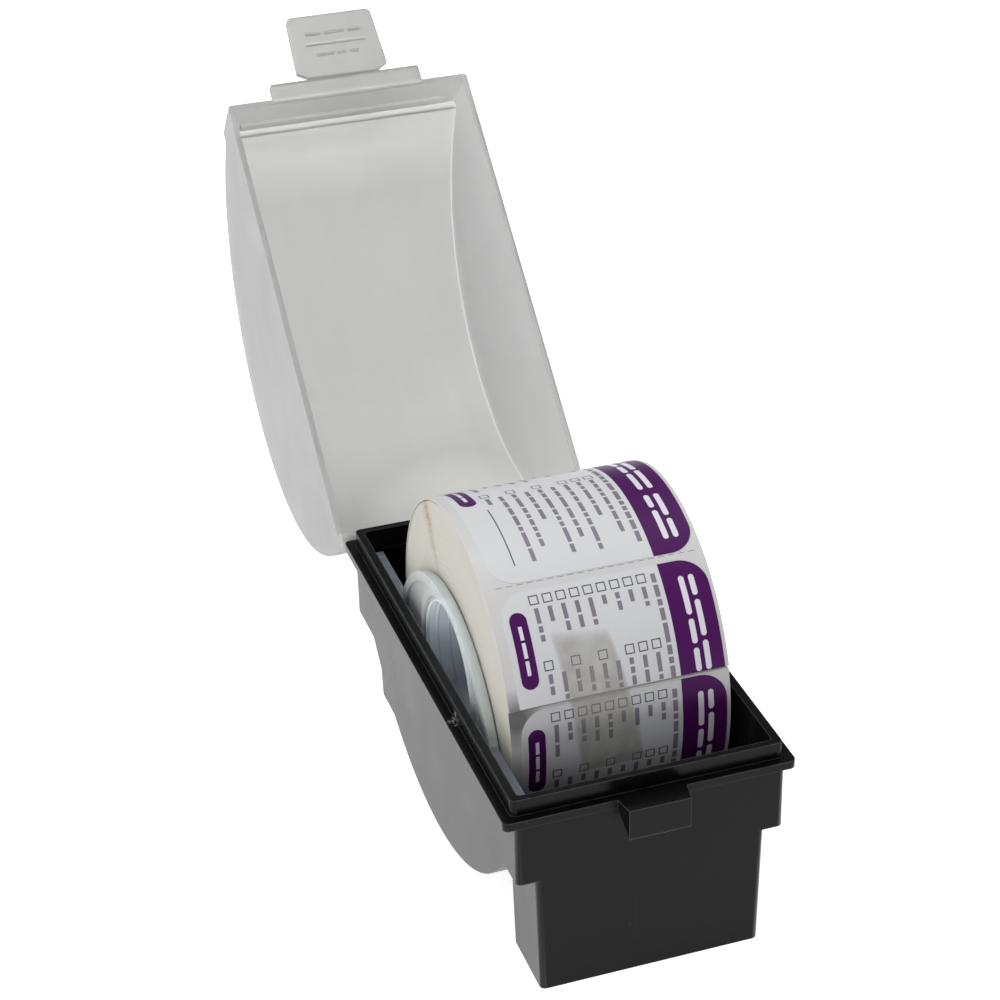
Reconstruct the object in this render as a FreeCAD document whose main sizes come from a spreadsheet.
import FreeCAD, Part
import math
import os
import re

# Flip-lid dispenser for a roll of food labels.
# While the pieces are made, X is across the machine, -Y is its front, +Z is up, and the
# ground is z = 0 under the middle of the tray. At the end everything is moved along Y
# so that the origin is under the middle of the whole machine, lid open.

doc = FreeCAD.newDocument("label_dispenser")
sheet = doc.addObject("Spreadsheet::Sheet", "Sizes")

SIZES = {    # lengths in mm
    # roll of labels
    "roll_width": 54.4,
    "wound_radius": 41.6,
    "core_bore": 19.0,
    "core_wall": 1.8,
    "liner_thick": 0.25,
    "liner_end_angle": 19.5,     # angles on the roll: 0 faces the front, 90 is the top
    "liner_turn_angle": 357.0,
    "label_thick": 0.15,
    "label_lift": 0.06,          # label's back off the liner
    "label_width": 50.8,
    "label_height": 50.8,
    "label_gap": 2.0,
    "label_margin": 2.6,         # bare liner left of the labels
    "first_label_angle": 54.8,   # where the first, cut label ends
    # moulded base tray
    "left_room": 2.8,            # between the left wall and its cheek
    "right_room": 0.8,
    "tray_length": 131.0,
    "tray_wall": 1.8,
    "corner_round": 1.4,
    "inner_round": 0.8,
    "front_shoulder": 31.8,      # underside of the box part, above the ground
    "rear_shoulder": 28.2,
    "belly_radius": 70.4,
    "belly_low": 5.2,            # lowest line of the round belly
    "belly_back": -1.5,          # where along Y that line lies
    "foot_width": 54.6,          # at the sole
    "foot_draft": 0.75,
    "foot_depth": 19.4,
    "flange_side": 2.8,          # flange past the tray's sides
    "flange_end": 0.1,           # flange past the tray's ends
    "flange_top": 49.7,
    "flange_thick": 2.1,
    "lip_side": 0.3,             # lip past the tray's sides
    "lip_end": 2.1,              # lip short of the tray's ends
    "lip_rise": 4.2,
    # catch lug under the latch
    "lug_width": 17.2,
    "lug_nose_width": 15.0,
    "lug_reach": 4.9,
    "lug_drop": 8.0,
    "lug_wall": 1.5,
    # roll's seat in the tray, and the translucent side cheeks
    "roll_y": -2.5,
    "roll_lift": 0.74,           # roll above the belly's inside
    "side_play": 0.3,
    "boss_play": 0.08,
    "boss_depth": 17.5,
    "cheek_thick": 1.6,
    "cheek_end_play": 1.6,
    "cheek_drop": 1.7,           # ledge below the flange's top
    "cheek_seat_play": 0.3,
    "arch_radius": 39.5,
    "arch_drop": 16.8,           # arch's centre below the ledge
    "bead_width": 2.3,
    "bead_rise": 0.6,
    "hub_rim": 1.7,              # hub bead past the core's bore
    "plug_rim": 5.0,             # plug plate past the core's bore
    # lid hinge
    "hinge_clear": 0.4,          # ears behind the flange
    "hinge_play": 0.3,
    "pin_radius": 1.0,
    "pin_length": 15.8,
    "pin_play": 0.05,
    "barrel_clear": 0.2,         # tray's barrels under the closed rim
    "barrel_width": 9.2,
    "ear_radius": 2.6,
    "ear_width": 8.0,
    "open_angle": 139.0,
    # lid
    "lid_wall": 1.6,
    "lip_play": 0.8,             # lid's front band ahead of the lip
    "rim_gap": 0.3,              # closed rim above the flange
    "heel_gap": 0.8,             # dome's rear end ahead of the hinge axis
    "front_step": 1.2,           # front band stands out past the dome
    "front_height": 14.4,
    "dome_round": 1.4,
    "rib_inset": 2.75,           # rib's ends inside the lid's side walls
    "rib_thick": 1.0,
    "rib_height": 2.6,
    "yoke_width": 44.2,
    "yoke_reach": 4.8,
    "yoke_thick": 2.0,
    # latch tongue
    "tongue_length": 19.6,
    "tongue_root_width": 26.8,
    "tongue_tip_width": 25.1,
    "tongue_neck_width": 21.4,
    "tongue_thick": 1.6,
    "tongue_gap": 0.2,
    "catch_reach": 0.55,
    "catch_width": 18.0,
    "catch_play": 0.3,
}
for row, (alias, size) in enumerate(SIZES.items(), 1):
    sheet.set(f"A{row}", alias)
    sheet.set(f"B{row}", str(size))
    sheet.setAlias(f"B{row}", alias)
doc.recompute()


def s(alias):
    """Value of one cell of the sheet."""
    return float(sheet.get(alias))


def value(text):
    """Number that an expression comes to now."""
    probe = doc.addObject("App::FeaturePython", "probe")
    probe.addProperty("App::PropertyFloat", "Value")
    probe.setExpression("Value", cells(text))
    probe.recompute()
    number = probe.Value
    doc.removeObject(probe.Name)
    return number


def cells(text):
    """Expression with the sheet's name put before every alias in it."""
    return re.sub("[a-z_]+", r"Sizes.\g<0>", text)


LYING = FreeCAD.Rotation(FreeCAD.Vector(0, 1, 0), 90)    # turns a cylinder's axis to X
# the same towards -X, with the cylinder's angle counted from the front over the top
FACING_FRONT = FreeCAD.Rotation(FreeCAD.Vector(0, 1, 0), -90).multiply(
    FreeCAD.Rotation(FreeCAD.Vector(0, 0, 1), -90))


def block(name, x, y, z):
    """Box between two expressions along each axis."""
    piece = doc.addObject("Part::Box", name)
    for side, axis, (low, high) in (("Length", "x", x), ("Width", "y", y), ("Height", "z", z)):
        piece.setExpression(side, cells(f"( {high} ) - ( {low} )"))
        piece.setExpression(f"Placement.Base.{axis}", cells(low))
    return piece


def bar(name, radius, x, y, z):
    """Round bar along X, between two expressions of x."""
    piece = doc.addObject("Part::Cylinder", name)
    piece.Placement.Rotation = LYING
    piece.setExpression("Radius", cells(radius))
    piece.setExpression("Height", cells(f"( {x[1]} ) - ( {x[0]} )"))
    for axis, place in (("x", x[0]), ("y", y), ("z", z)):
        piece.setExpression(f"Placement.Base.{axis}", cells(place))
    return piece


def taper(name, x_front, x_rear, y, z_front, z_rear):
    """Wedge that runs along Y from its front face to its rear face."""
    piece = doc.addObject("Part::Wedge", name)
    sides = {
        "Xmin": f"-( {x_front} ) / 2", "Xmax": f"( {x_front} ) / 2",
        "X2min": f"-( {x_rear} ) / 2", "X2max": f"( {x_rear} ) / 2",
        "Ymin": y[0], "Ymax": y[1],
        "Zmin": z_front[0], "Zmax": z_front[1],
        "Z2min": z_rear[0], "Z2max": z_rear[1],
    }
    for side, place in sides.items():
        piece.setExpression(side, cells(place))
    return piece


def fuse(name, *pieces):
    joined = doc.addObject("Part::MultiFuse", name)
    joined.Shapes = list(pieces)
    joined.Refine = True
    return joined


def common(name, *pieces):
    shared = doc.addObject("Part::MultiCommon", name)
    shared.Shapes = list(pieces)
    return shared


def cut(name, base, tool):
    rest = doc.addObject("Part::Cut", name)
    rest.Base = base
    rest.Tool = tool
    rest.Refine = True
    return rest


def rounded(name, base, radius, chosen):
    """Fillet of one radius on the base's chosen edges."""
    doc.recompute()
    fillet = doc.addObject("Part::Fillet", name)
    fillet.Base = base
    edges = enumerate(base.Shape.Edges, 1)
    fillet.Edges = [(number, radius, radius) for number, edge in edges if chosen(edge)]
    return fillet


def upright(edge):
    return abs(edge.tangentAt(edge.FirstParameter).z) > 0.99


def round_end(edge):
    return isinstance(edge.Curve, Part.Circle)


def soft_block(name, x, y, z, radius):
    """Box with its four upright edges rounded."""
    return rounded(name, block(f"{name}_block", x, y, z), radius, upright)


def middle(width):
    """Expressions of both ends of a width that is centred."""
    return f"-( {width} ) / 2", f"( {width} ) / 2"


# ---------------------------------------------------------------- sizes that follow others
OVERLAP = "1"                # how far blocks of one piece run into each other
CUT_PAST = "5"               # how far a cutting block runs past what it cuts
PER_RADIAN = str(math.degrees(1))

TRAY_INNER = "( roll_width + 2 * side_play + 2 * cheek_thick + left_room + right_room )"
TRAY_WIDTH = f"( {TRAY_INNER} + 2 * tray_wall )"
FLANGE_WIDTH = f"( {TRAY_WIDTH} + 2 * flange_side )"
FLANGE_LENGTH = "( tray_length + 2 * flange_end )"
FLANGE_LOW = "( flange_top - flange_thick )"
LIP_WIDTH = f"( {TRAY_WIDTH} + 2 * lip_side )"
LIP_LENGTH = "( tray_length - 2 * lip_end )"
MOUTH_LENGTH = f"( {LIP_LENGTH} - 2 * tray_wall )"
LIP_TOP = "flange_top + lip_rise"
BELLY_Z = "( belly_low + belly_radius )"

ROLL_LEFT = f"( left_room + cheek_thick + side_play - {TRAY_INNER} / 2 )"
ROLL_X = (ROLL_LEFT, f"{ROLL_LEFT} + roll_width")
LABEL_X = (f"{ROLL_LEFT} + label_margin", f"{ROLL_LEFT} + label_margin + label_width")
LABEL_BORE = "( wound_radius + liner_thick + label_lift )"
ROLL_Z = f"( belly_low + tray_wall + roll_lift + {LABEL_BORE} + label_thick )"

CHEEK_X = (f"{ROLL_X[0]} - side_play - cheek_thick", f"{ROLL_X[0]} - side_play")
PLUG_X = (f"{ROLL_X[1]} + side_play", f"{ROLL_X[1]} + side_play + cheek_thick")
CHEEK_LENGTH = f"( {MOUTH_LENGTH} - 2 * cheek_end_play )"
CHEEK_TOP = "( flange_top - cheek_drop )"
ARCH_Z = f"( {CHEEK_TOP} - arch_drop )"
SEAT_RADIUS = "( belly_radius - tray_wall - cheek_seat_play )"
BOSS_RADIUS = "( core_bore - boss_play )"

HINGE_Y = f"( {FLANGE_LENGTH} / 2 + hinge_clear + ear_radius )"
RIM = "( flange_thick + rim_gap )"
BARREL_RADIUS = f"( {RIM} - barrel_clear )"
LID_FRONT = f"( {HINGE_Y} + {LIP_LENGTH} / 2 + lip_play + lid_wall )"
DOME_RADIUS = f"( ( {LID_FRONT} - heel_gap - front_step ) / 2 )"
TONGUE_Y = f"( {LID_FRONT} + yoke_reach + tongue_gap + tongue_thick / 2 )"
TONGUE_Z = f"( {RIM} + yoke_thick / 2 )"


# ---------------------------------------------------------------- base tray
def foot(name, side, inset, low, radius):
    """Foot at the front (side -1) or rear (side 1), a little narrower at its sole."""
    near = f"( tray_length / 2 - foot_depth + {inset} )"
    far = f"( tray_length / 2 - {inset} )"
    depth = (near, far) if side < 0 else (f"-{far}", f"-{near}")
    width = f"foot_width - 2 * {inset}"
    height = (low, f"front_shoulder + {inset} + {OVERLAP}")
    post = taper(f"{name}_post", width, f"{width} + 2 * foot_draft", height, depth, depth)
    post.Placement.Rotation = FreeCAD.Rotation(FreeCAD.Vector(1, 0, 0), 90)
    return rounded(name, post, radius, upright)


def tray_mass(name, inset, belly_radius, top, radius):
    """The tray's outer form, or with an inset the space inside its wall."""
    width = middle(f"{TRAY_WIDTH} - 2 * {inset}")
    length = middle(f"tray_length - 2 * {inset}")
    rear = ("tray_length / 4", length[1])
    upper = soft_block(f"{name}_box", width, length, (f"front_shoulder + {inset}", top), radius)
    heel_z = (f"rear_shoulder + {inset}", f"front_shoulder + {inset} + {OVERLAP}")
    heel = soft_block(f"{name}_heel", width, rear, heel_z, radius)
    drum = bar(f"{name}_drum", belly_radius, width, "belly_back", BELLY_Z)
    below = block(f"{name}_below", width, length, ("0", f"front_shoulder + {inset} + {OVERLAP}"))
    belly = common(f"{name}_belly", drum, below)
    feet = [foot(f"{name}_{end}", side, inset, inset, radius)
            for end, side in (("front_foot", -1), ("rear_foot", 1))]
    return fuse(name, upper, heel, belly, *feet)


def knuckles():
    """Two barrels behind the flange that take the hinge pins."""
    pieces = []
    for end, side in (("left", -1), ("right", 1)):
        outer = f"{FLANGE_WIDTH} / 2 - ear_width - hinge_play"
        inner = f"{outer} - barrel_width"
        x = (inner, outer) if side > 0 else (f"-( {outer} )", f"-( {inner} )")
        barrel = bar(f"barrel_{end}", BARREL_RADIUS, x, HINGE_Y, FLANGE_LOW)
        arm_z = (f"{FLANGE_LOW} - {BARREL_RADIUS}", "flange_top - hinge_play")
        arm = block(f"barrel_arm_{end}", x, (f"tray_length / 2 - {OVERLAP}", HINGE_Y), arm_z)
        hole = bar(f"barrel_hole_{end}", "pin_radius + pin_play", x, HINGE_Y, FLANGE_LOW)
        pieces.append(cut(f"knuckle_{end}", fuse(f"barrel_on_arm_{end}", barrel, arm), hole))
    return pieces


def catch_lug():
    """Downturned lug in front of the flange, hollow behind its nose."""
    nose = f"-{FLANGE_LENGTH} / 2 - lug_reach"
    y = (nose, f"-tray_length / 2 + {OVERLAP}")
    nose_z = ("flange_top - lug_drop", "flange_top")
    root_z = ("flange_top - lug_wall", "flange_top")
    solid = taper("lug_solid", "lug_nose_width", "lug_width", y, nose_z, root_z)
    hollow_y = (f"{nose} + lug_wall", "-tray_length / 2")
    hollow_z = (f"flange_top - lug_drop - {CUT_PAST}", "flange_top - lug_wall")
    hollow = block("lug_hollow", middle("lug_nose_width - 2 * lug_wall"), hollow_y, hollow_z)
    return cut("lug", solid, hollow)


def base_tray():
    inner_radius = s("inner_round")
    outer = tray_mass("tray_outer", "0", "belly_radius", FLANGE_LOW, s("corner_round"))
    flange = soft_block("flange", middle(FLANGE_WIDTH), middle(FLANGE_LENGTH),
                        (FLANGE_LOW, "flange_top"), s("corner_round"))
    lip = soft_block("lip", middle(LIP_WIDTH), middle(LIP_LENGTH),
                     ("flange_top", LIP_TOP), s("corner_round"))
    mass = fuse("tray_solid", outer, flange, lip, *knuckles())
    space = tray_mass("tray_space", "tray_wall", "belly_radius - tray_wall",
                      "flange_top - tray_wall", inner_radius)
    mouth = soft_block("tray_mouth", middle(TRAY_INNER), middle(MOUTH_LENGTH),
                       ("front_shoulder + 2 * tray_wall", f"{LIP_TOP} + {CUT_PAST}"), inner_radius)
    shell = cut("tray_shell", mass, fuse("tray_hollow", space, mouth))
    return fuse("base_tray", shell, catch_lug())


# ---------------------------------------------------------------- roll carrier
def boss(name, x, open_x):
    """Blind cup that stands in the roll's core."""
    cup = bar(f"{name}_cup", BOSS_RADIUS, x, "roll_y", ROLL_Z)
    well = bar(f"{name}_well", f"{BOSS_RADIUS} - cheek_thick", open_x, "roll_y", ROLL_Z)
    return cup, well


def seat(name, x, y):
    """Lower part of a cheek, which stands in the round belly."""
    drum = bar(f"{name}_drum", SEAT_RADIUS, x, "belly_back", BELLY_Z)
    below = block(f"{name}_below", x, y, ("0", CHEEK_TOP))
    return common(name, drum, below)


def bead(name, radius, y, z):
    """Raised ring on the left cheek's outer face."""
    x = (f"{CHEEK_X[0]} - bead_rise", CHEEK_X[0])
    return cut(name, bar(f"{name}_disc", radius, x, y, z),
               bar(f"{name}_bore", f"{radius} - bead_width", x, y, z))


def cheek_left():
    """Side plate with a ledge, a beaded arch and the left boss."""
    run = middle(CHEEK_LENGTH)
    straight = block("cheek_straight", CHEEK_X, run,
                     ("front_shoulder + 2 * tray_wall", CHEEK_TOP))
    lower = seat("cheek_seat", CHEEK_X, middle("tray_length / 2"))
    above = block("arch_above", (f"{CHEEK_X[0]} - {CUT_PAST}", CHEEK_X[1]), run,
                  (CHEEK_TOP, f"{ARCH_Z} + arch_radius + {CUT_PAST}"))
    disc = bar("arch_disc", "arch_radius", CHEEK_X, "0", ARCH_Z)
    arch = common("arch", disc, above)
    rim = common("arch_rim", bead("arch_bead", "arch_radius", "0", ARCH_Z), above)
    hub = bead("hub_bead", "core_bore + hub_rim", "roll_y", ROLL_Z)
    ledge = soft_block("cheek_ledge", (f"2 * side_play - {TRAY_INNER} / 2", CHEEK_X[1]), run,
                       (f"{CHEEK_TOP} - cheek_thick", CHEEK_TOP), s("cheek_thick"))
    deep = f"{CHEEK_X[1]} + boss_depth"
    cup, well = boss("left_boss", (CHEEK_X[0], deep),
                     (f"{CHEEK_X[0]} - {CUT_PAST}", f"{deep} - cheek_thick"))
    return cut("cheek_left", fuse("cheek_mass", straight, lower, arch, rim, hub, ledge, cup), well)


def cheek_right():
    """Plain plug plate that stands in the belly and holds the right boss."""
    radius = "( core_bore + plug_rim )"
    run = (f"roll_y - {radius}", f"roll_y + {radius}")
    lower = seat("plug_seat", PLUG_X, run)
    post = block("plug_post", PLUG_X, run, ("front_shoulder", ROLL_Z))
    disc = bar("plug_disc", radius, PLUG_X, "roll_y", ROLL_Z)
    deep = f"{PLUG_X[0]} - boss_depth"
    cup, well = boss("right_boss", (deep, PLUG_X[1]),
                     (f"{deep} + cheek_thick", f"{PLUG_X[1]} + {CUT_PAST}"))
    return cut("cheek_right", fuse("plug_mass", lower, post, disc, cup), well)


# ---------------------------------------------------------------- roll of labels
def tube(name, bore, radius):
    return cut(name, bar(f"{name}_rod", radius, ROLL_X, "roll_y", ROLL_Z),
               bar(f"{name}_bore", bore, ROLL_X, "roll_y", ROLL_Z))


def wrapped(name, bore, thick, x, start, turn):
    """Thin sheet bent round the roll, from angle start through turn degrees."""
    outer = doc.addObject("Part::Cylinder", f"{name}_rod")
    outer.Placement.Rotation = FACING_FRONT
    outer.setExpression("Placement.Base.x", cells(x[1]))
    outer.setExpression("Height", cells(f"( {x[1]} ) - ( {x[0]} )"))
    outer.setExpression("Radius", cells(f"{bore} + {thick}"))
    outer.setExpression("Angle", cells(turn))
    bent = cut(name, outer, bar(f"{name}_bore", bore, x, "0", "0"))
    bent.Placement.Rotation = FreeCAD.Rotation(FreeCAD.Vector(-1, 0, 0), 90)
    bent.setExpression("Placement.Base.y", cells("roll_y"))
    bent.setExpression("Placement.Base.z", cells(ROLL_Z))
    bent.setExpression("Placement.Rotation.Angle", cells(start))
    return bent


def label(number, start, turn):
    return wrapped(f"label_{number}", LABEL_BORE, "label_thick", LABEL_X, start, turn)


def labels():
    """Labels on the outer turn: the liner's cut trims the first, and one ends at its start."""
    along = f"{LABEL_BORE} * {PER_RADIAN}"
    whole = f"label_height / {along}"
    gap = f"label_gap / {along}"
    first = "liner_end_angle"
    last = f"liner_end_angle + liner_turn_angle - {gap} / 2 - {whole}"
    per_mm = math.degrees(1) / value(LABEL_BORE)
    pitch = (s("label_height") + s("label_gap")) * per_mm
    free = s("liner_end_angle") + s("liner_turn_angle") - s("first_label_angle")
    between = int((free - pitch) / pitch)
    pieces = [label(1, first, f"first_label_angle - {first}")]
    for place in range(between):
        start = f"first_label_angle + {gap} + {place} * ( {whole} + {gap} )"
        pieces.append(label(place + 2, start, whole))
    return pieces + [label(between + 2, last, whole)]


def roll():
    core = tube("roll_core", "core_bore", "core_bore + core_wall")
    wound = tube("wound_labels", "core_bore + core_wall", "wound_radius")
    liner = wrapped("outer_liner", "wound_radius", "liner_thick", ROLL_X,
                    "liner_end_angle", "liner_turn_angle")
    return [core, wound, liner] + labels()


# ---------------------------------------------------------------- lid, closed, about its hinge
# The lid's own origin is on the hinge axis, and -Y is towards its front.
def lid_mass(name, inset, low, round_radius):
    """Half drum with its front band; with an inset, the space inside."""
    width = middle(f"{FLANGE_WIDTH} - 2 * {inset}")
    drum = bar(f"{name}_drum", f"{DOME_RADIUS} - {inset}", width, f"-{DOME_RADIUS} - heel_gap", RIM)
    if round_radius:
        drum = rounded(f"{name}_drum_round", drum, round_radius, round_end)
    above = block(f"{name}_above", width, (f"-{LID_FRONT} - {OVERLAP}", "0"),
                  (low, f"{RIM} + {DOME_RADIUS}"))
    dome = common(f"{name}_dome", drum, above)
    band_y = (f"{inset} - {LID_FRONT}", "2 * lid_wall - 2 * " + DOME_RADIUS)
    band_z = (low, f"{RIM} + front_height - {inset}")
    band = soft_block(f"{name}_band", width, band_y, band_z, s("dome_round") - s("lid_wall") / 4)
    return fuse(name, dome, band)


def ear(end, side):
    """Round ear on the hinge pin, with the web that ties it to the dome."""
    outer = f"{FLANGE_WIDTH} / 2"
    inner = f"{outer} - ear_width"
    x = (inner, outer) if side > 0 else (f"-( {outer} )", f"-( {inner} )")
    round_part = bar(f"ear_round_{end}", "ear_radius", x, "0", "0")
    web_y = ("-( heel_gap + lid_wall )", "0")
    web = block(f"ear_web_{end}", x, web_y, ("0", f"{RIM} + 2 * ear_radius"))
    return fuse(f"ear_{end}", round_part, web)


def pin(name, side, y, z):
    """Hinge pin, or the hole it is pressed into."""
    outer = f"{FLANGE_WIDTH} / 2 - lid_wall"
    inner = f"{outer} - pin_length"
    x = (inner, outer) if side > 0 else (f"-( {outer} )", f"-( {inner} )")
    return bar(name, "pin_radius", x, y, z)


def lid_shell():
    outer = lid_mass("lid_outer", "0", RIM, s("dome_round"))
    space = lid_mass("lid_space", "lid_wall", "0", 0)
    shell = cut("lid_thin", outer, space)
    yoke_y = (f"-{LID_FRONT} - yoke_reach", f"lid_wall - {LID_FRONT}")
    yoke = soft_block("yoke", middle("yoke_width"), yoke_y, (RIM, f"{RIM} + yoke_thick"),
                      s("dome_round") / 2)
    rib_y = (f"lid_wall - {LID_FRONT}", f"lid_wall + rib_thick - {LID_FRONT}")
    rib_top = f"{RIM} + front_height - 2 * lid_wall"
    rib_width = f"{FLANGE_WIDTH} - 2 * lid_wall - 2 * rib_inset"
    rib = block("front_rib", middle(rib_width), rib_y, (f"{rib_top} - rib_height", rib_top))
    ears = [ear("left", -1), ear("right", 1)]
    body = fuse("lid_body", shell, yoke, rib, *ears)
    holes = [pin(f"pin_hole_{end}", side, "0", "0") for end, side in (("left", -1), ("right", 1))]
    return cut("lid_shell", body, fuse("pin_holes", *holes))


def latch_tongue():
    """Flat tongue with a round root and a catch ridge on its underside."""
    root = f"-( {TONGUE_Y} )"
    shoulder = f"{root} - tongue_thick"
    tip = f"{root} - tongue_length"
    z = (f"{TONGUE_Z} - tongue_thick / 2", f"{TONGUE_Z} + tongue_thick / 2")
    neck = bar("tongue_neck", "tongue_thick / 2", middle("tongue_neck_width"), root, TONGUE_Z)
    cheeks = taper("tongue_cheeks", "tongue_root_width", "tongue_neck_width",
                   (shoulder, root), z, z)
    blade = taper("tongue_blade", "tongue_tip_width", "tongue_root_width", (tip, shoulder), z, z)
    blade = rounded("tongue_blade_round", blade, s("tongue_thick"),
                    lambda edge: upright(edge) and edge.CenterOfMass.y < tongue_middle())
    below_axis = f"lug_drop + {RIM} - flange_thick + yoke_thick / 2 + catch_play"
    ridge = bar("tongue_ridge", "catch_reach", middle("catch_width"),
                f"{root} - ( {below_axis} ) - catch_reach", z[0])
    return fuse("latch_tongue", neck, cheeks, blade, ridge)


def tongue_middle():
    """Y of the middle of the tongue, so that only its tip gets rounded."""
    return -value(TONGUE_Y) - s("tongue_length") / 2


def hang_on_hinge(piece):
    """Place a lid piece at the hinge, swung open."""
    piece.Placement.Rotation = FreeCAD.Rotation(FreeCAD.Vector(-1, 0, 0), s("open_angle"))
    piece.setExpression("Placement.Base.y", cells(HINGE_Y))
    piece.setExpression("Placement.Base.z", cells(FLANGE_LOW))
    piece.setExpression("Placement.Rotation.Angle", "Sizes.open_angle")


# ---------------------------------------------------------------- assembly
pins = [pin(f"hinge_pin_{end}", side, HINGE_Y, FLANGE_LOW)
        for end, side in (("left", -1), ("right", 1))]
lid_pieces = [lid_shell(), latch_tongue()]
tray_pieces = [base_tray(), cheek_left(), cheek_right()]
roll_pieces = roll()
doc.recompute()
for piece in lid_pieces:
    hang_on_hinge(piece)
doc.recompute()

pieces = tray_pieces + roll_pieces + lid_pieces + pins
boxes = [piece.Shape.optimalBoundingBox(False, False) for piece in pieces]
front_end = min(box.YMin for box in boxes)
rear_end = max(box.YMax for box in boxes)
origin_y = (front_end + rear_end) / 2

for item in doc.Objects:
    if "Invalid" in item.State or "Error" in item.State:
        raise RuntimeError(f"{item.Name} failed: {item.State}")

nodes = {}
for piece in pieces:
    shape = piece.Shape.copy()
    if shape.isNull() or not shape.isValid():
        raise RuntimeError(f"{piece.Name} has no valid shape")
    shape.translate(FreeCAD.Vector(0, -origin_y, 0))
    node = doc.addObject("Part::Feature", f"{piece.Name}_placed")
    node.Shape = shape
    node.Label = f"{piece.Name}_node"
    nodes[piece.Name] = node

os.makedirs("parts", exist_ok=True)
for name, node in nodes.items():
    node.Shape.exportStep(f"parts/{name}.step")
    box = node.Shape.optimalBoundingBox(False, False)
    print(f"{name:18s} solids {len(node.Shape.Solids)}  volume {node.Shape.Volume:9.1f}  "
          f"x {box.XMin:7.2f} {box.XMax:7.2f}  y {box.YMin:7.2f} {box.YMax:7.2f}  "
          f"z {box.ZMin:7.2f} {box.ZMax:7.2f}")

swing = math.radians(s("open_angle"))
hinge = FreeCAD.Vector(0, value(HINGE_Y) - origin_y, value(FLANGE_LOW))
tongue_out, tongue_up = value(TONGUE_Y), value(TONGUE_Z)
tongue = hinge + FreeCAD.Vector(
    0,
    -tongue_out * math.cos(swing) + tongue_up * math.sin(swing),
    tongue_out * math.sin(swing) + tongue_up * math.cos(swing))
print(f"origin is {origin_y:.3f} behind the middle of the tray")
print(f"lid hinge axis   y {hinge.y:.3f} z {hinge.z:.3f}")
print(f"tongue axis      y {tongue.y:.3f} z {tongue.z:.3f}")
print(f"roll axis        y {s('roll_y') - origin_y:.3f} z {value(ROLL_Z):.3f}")
